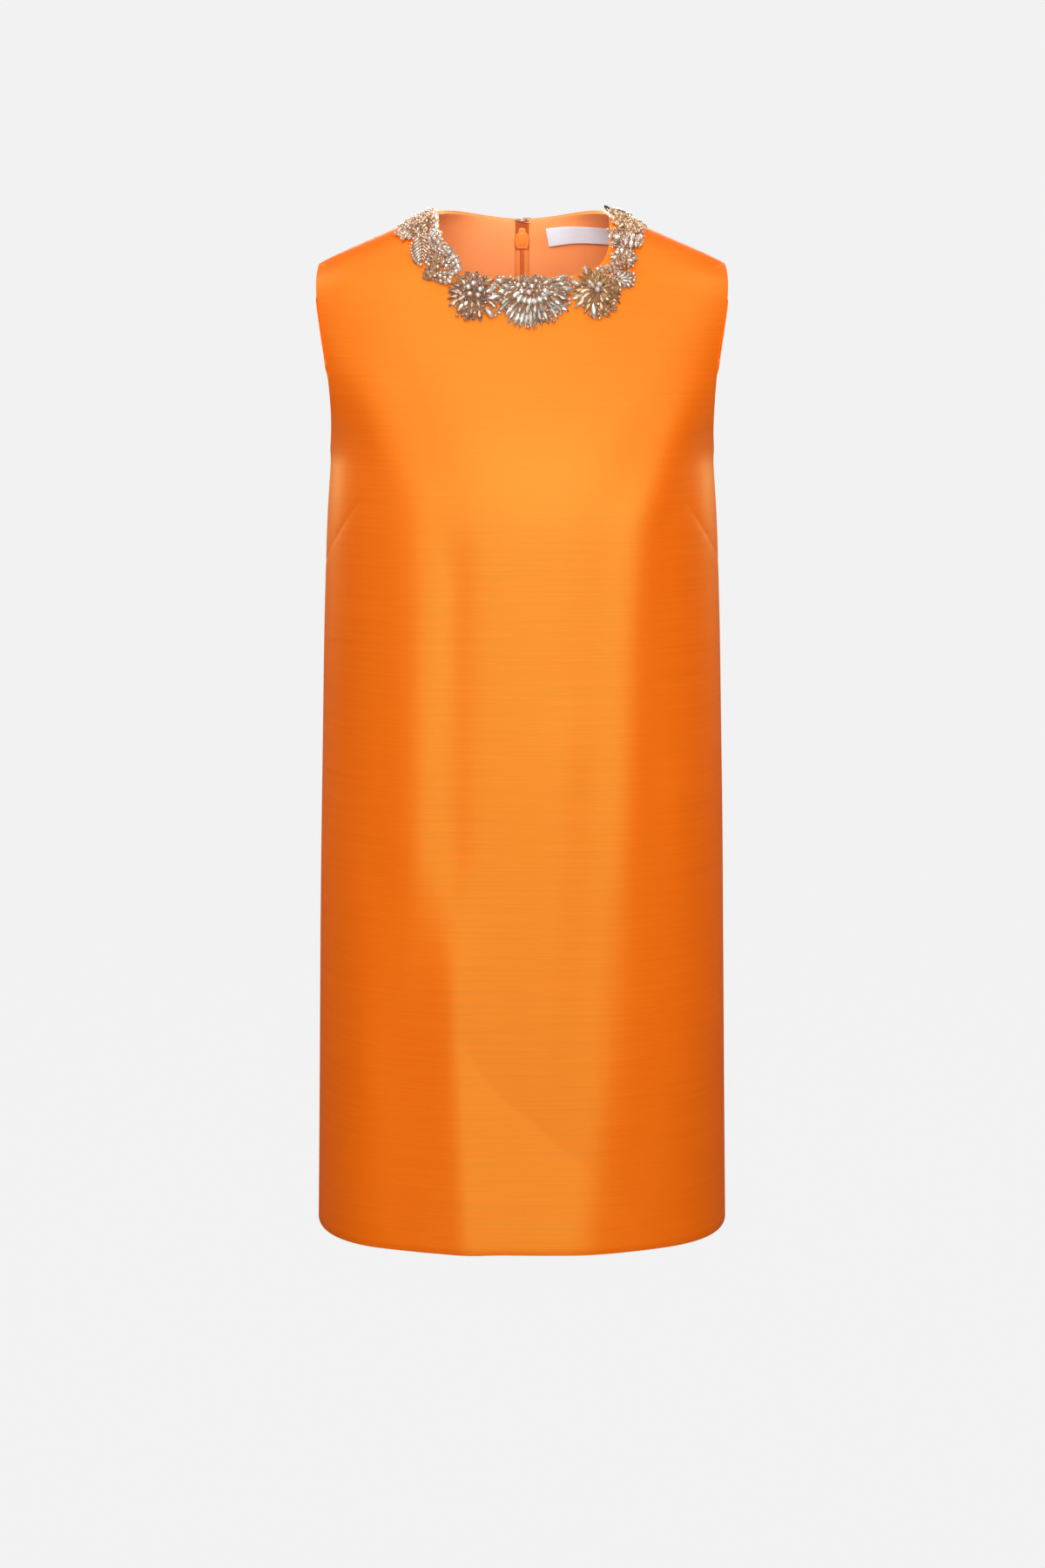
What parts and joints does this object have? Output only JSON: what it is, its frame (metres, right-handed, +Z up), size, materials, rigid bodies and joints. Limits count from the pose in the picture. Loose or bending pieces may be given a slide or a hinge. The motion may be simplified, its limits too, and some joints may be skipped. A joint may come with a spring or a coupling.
{
  "type": "sleeveless shift dress",
  "caption": "Sleeveless orange satin shift dress, standing hollow as when it is worn, with a jewelled round neckline, bust darts and a centre back zip.",
  "frame": {"origin": "midway between the high points of the two shoulders, where the wearer's shoulders hold the dress up", "axes": "+Z up, from hem to shoulders; -Y is the front; +X is the wearer's left"},
  "size_m": [0.3872, 0.284, 0.9337],
  "materials": {
    "satin_shell": "orange satin-faced cloth with fine slubs across and a soft sheen",
    "lining": "matt orange lining",
    "zip_tape": "woven orange zip tape",
    "zip_enamel": "orange enamel",
    "label_cloth": "bare white woven satin",
    "silver_wire": "bright silver wire",
    "clear_stones": "clear cut stones with silvered backs",
    "champagne_stones": "champagne and smoke coloured cut stones with silvered backs",
    "gold_stones": "gold and clear cut stones with silvered backs"
  },
  "bodies": {
    "garment": {"front_panel": "satin_shell", "back_panel_left": "satin_shell", "back_panel_right": "satin_shell", "back_facing_left": "lining", "back_facing_right": "lining", "neck_label": "label_cloth", "zip_tape_left": "zip_tape", "zip_tape_right": "zip_tape", "zip_slider": "zip_enamel", "neck_hook": "silver_wire", "neck_eye": "silver_wire", "fan_motif": "clear_stones", "crescent_motif": "clear_stones", "leaf_motif": "clear_stones", "round_cluster": "clear_stones", "shoulder_cluster_right": "clear_stones", "drop_cluster": "clear_stones", "burst_motif": "clear_stones", "flower_champagne": "champagne_stones", "small_flower_upper": "champagne_stones", "small_flower_lower": "champagne_stones", "small_flower_pink": "champagne_stones", "flower_gold": "gold_stones", "shoulder_cluster_left": "gold_stones"},
    "pull": {"zip_pull": "zip_enamel"}
  },
  "joints": [
    {"name": "pull_swing", "type": "hinge", "parent": "garment", "child": "pull", "pos_m": [0, 0.07012, -0.01873], "axis": [1, 0, 0], "range_deg": [0, 175]}
  ]
}
